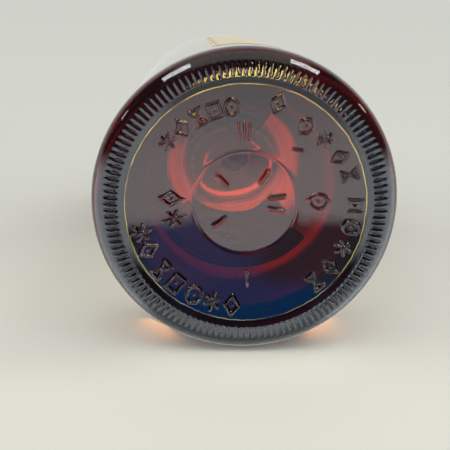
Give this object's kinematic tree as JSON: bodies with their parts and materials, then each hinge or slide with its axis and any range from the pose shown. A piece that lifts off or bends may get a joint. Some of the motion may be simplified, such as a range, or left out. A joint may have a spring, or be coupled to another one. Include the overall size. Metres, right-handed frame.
{
  "type": "glass spirits bottle",
  "caption": "Round dark-amber glass bottle with a ribbed standing ring, paper labels, a pouring ring and a rolled-on screw cap with a tamper band.",
  "frame": {"origin": "centre of the ring that the bottle stands on, at the standing surface", "axes": "+Z along the bottle's axis, towards the mouth; the front label faces -Y and the back label faces +Y"},
  "size_m": [0.08, 0.0802, 0.2709],
  "materials": {
    "amber_glass": "smooth moulded glass, dark amber, nearly black in reflection and red-orange where light comes through",
    "label_paper": "uncoated cream paper with a gold-brown printed border",
    "pourer_plastic": "natural polyethylene",
    "liner_foam": "white expanded polyethylene disc",
    "cap_metal": "gold-lacquered aluminium, satin"
  },
  "bodies": {
    "bottle": {"glass_bottle": "amber_glass", "front_label": "label_paper", "back_label": "label_paper", "neck_label": "label_paper", "pouring_ring": "pourer_plastic"},
    "liner": {"cap_liner": "liner_foam"},
    "cap": {"cap_shell": "cap_metal"},
    "band": {"tamper_band": "cap_metal"}
  },
  "joints": [
    {"name": "cap_rise", "type": "slide", "parent": "bottle", "child": "liner", "axis": [0, 0, 1], "range_m": [0, 0.0064]},
    {"name": "cap_turn", "type": "hinge", "parent": "liner", "child": "cap", "pos_m": [0, 0, 0.261], "axis": [0, 0, 1], "range_deg": [0, 720]},
    {"name": "band_spin", "type": "hinge", "parent": "bottle", "child": "band", "pos_m": [0, 0, 0.2498], "axis": [0, 0, 1], "continuous": true}
  ],
  "couplings": [
    {"joint": "cap_rise", "follows": "cap_turn", "m_per_rad": 0.00050611}
  ]
}
